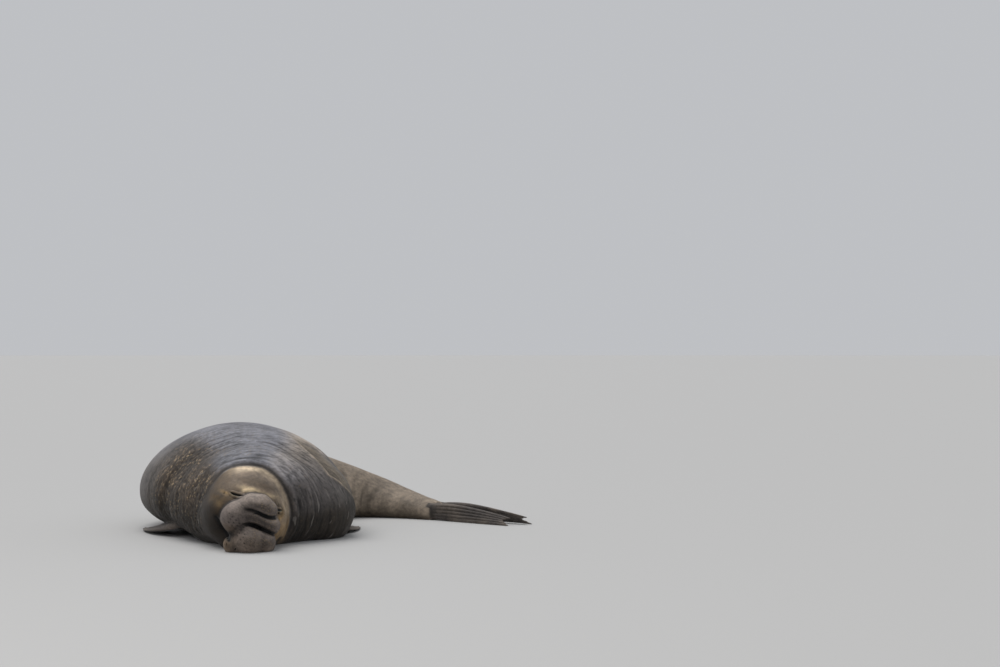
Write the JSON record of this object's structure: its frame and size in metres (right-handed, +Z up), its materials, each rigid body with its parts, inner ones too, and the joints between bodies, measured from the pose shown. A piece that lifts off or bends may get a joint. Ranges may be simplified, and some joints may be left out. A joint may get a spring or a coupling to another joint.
{
  "type": "elephant seal",
  "caption": "Life-size resting bull elephant seal on its belly, folded trunk on the ground, hind end bent to its left, as a still museum model.",
  "frame": {"origin": "on the ground, under the middle of the model's box", "axes": "+Z up; the head lies towards -Y, turned a little towards +X; +X is the animal's left"},
  "size_m": [2.6687, 2.9016, 0.7129],
  "materials": {
    "body_skin": "short coarse hair over thick wrinkled hide",
    "head_skin": "short coarse hair over thick wrinkled hide",
    "trunk_skin": "bare wrinkled hide",
    "jaw_skin": "short coarse hair over thick wrinkled hide",
    "hind_skin": "short coarse hair over thick wrinkled hide",
    "foreflipper_skin": "short coarse hair over thick wrinkled hide",
    "hindflipper_skin": "short coarse hair over thick wrinkled hide",
    "eye": "wet dark eye",
    "claw": "dark horn"
  },
  "bodies": {
    "root": {"proboscis": "trunk_skin", "head": "head_skin", "lower_jaw": "jaw_skin", "neck": "body_skin", "chest": "body_skin", "torso": "body_skin", "loin": "body_skin", "rump": "hind_skin", "ankles": "hind_skin", "tail": "body_skin", "eye_left": "eye", "eye_right": "eye", "foreflipper_left": "foreflipper_skin", "foreflipper_right": "foreflipper_skin", "hindflipper_left": "hindflipper_skin", "hindflipper_right": "hindflipper_skin", "foreflipper_left_claw_1": "claw", "foreflipper_left_claw_2": "claw", "foreflipper_left_claw_3": "claw", "foreflipper_left_claw_4": "claw", "foreflipper_left_claw_5": "claw", "foreflipper_right_claw_1": "claw", "foreflipper_right_claw_2": "claw", "foreflipper_right_claw_3": "claw", "foreflipper_right_claw_4": "claw", "foreflipper_right_claw_5": "claw"}
  },
  "joints": []
}
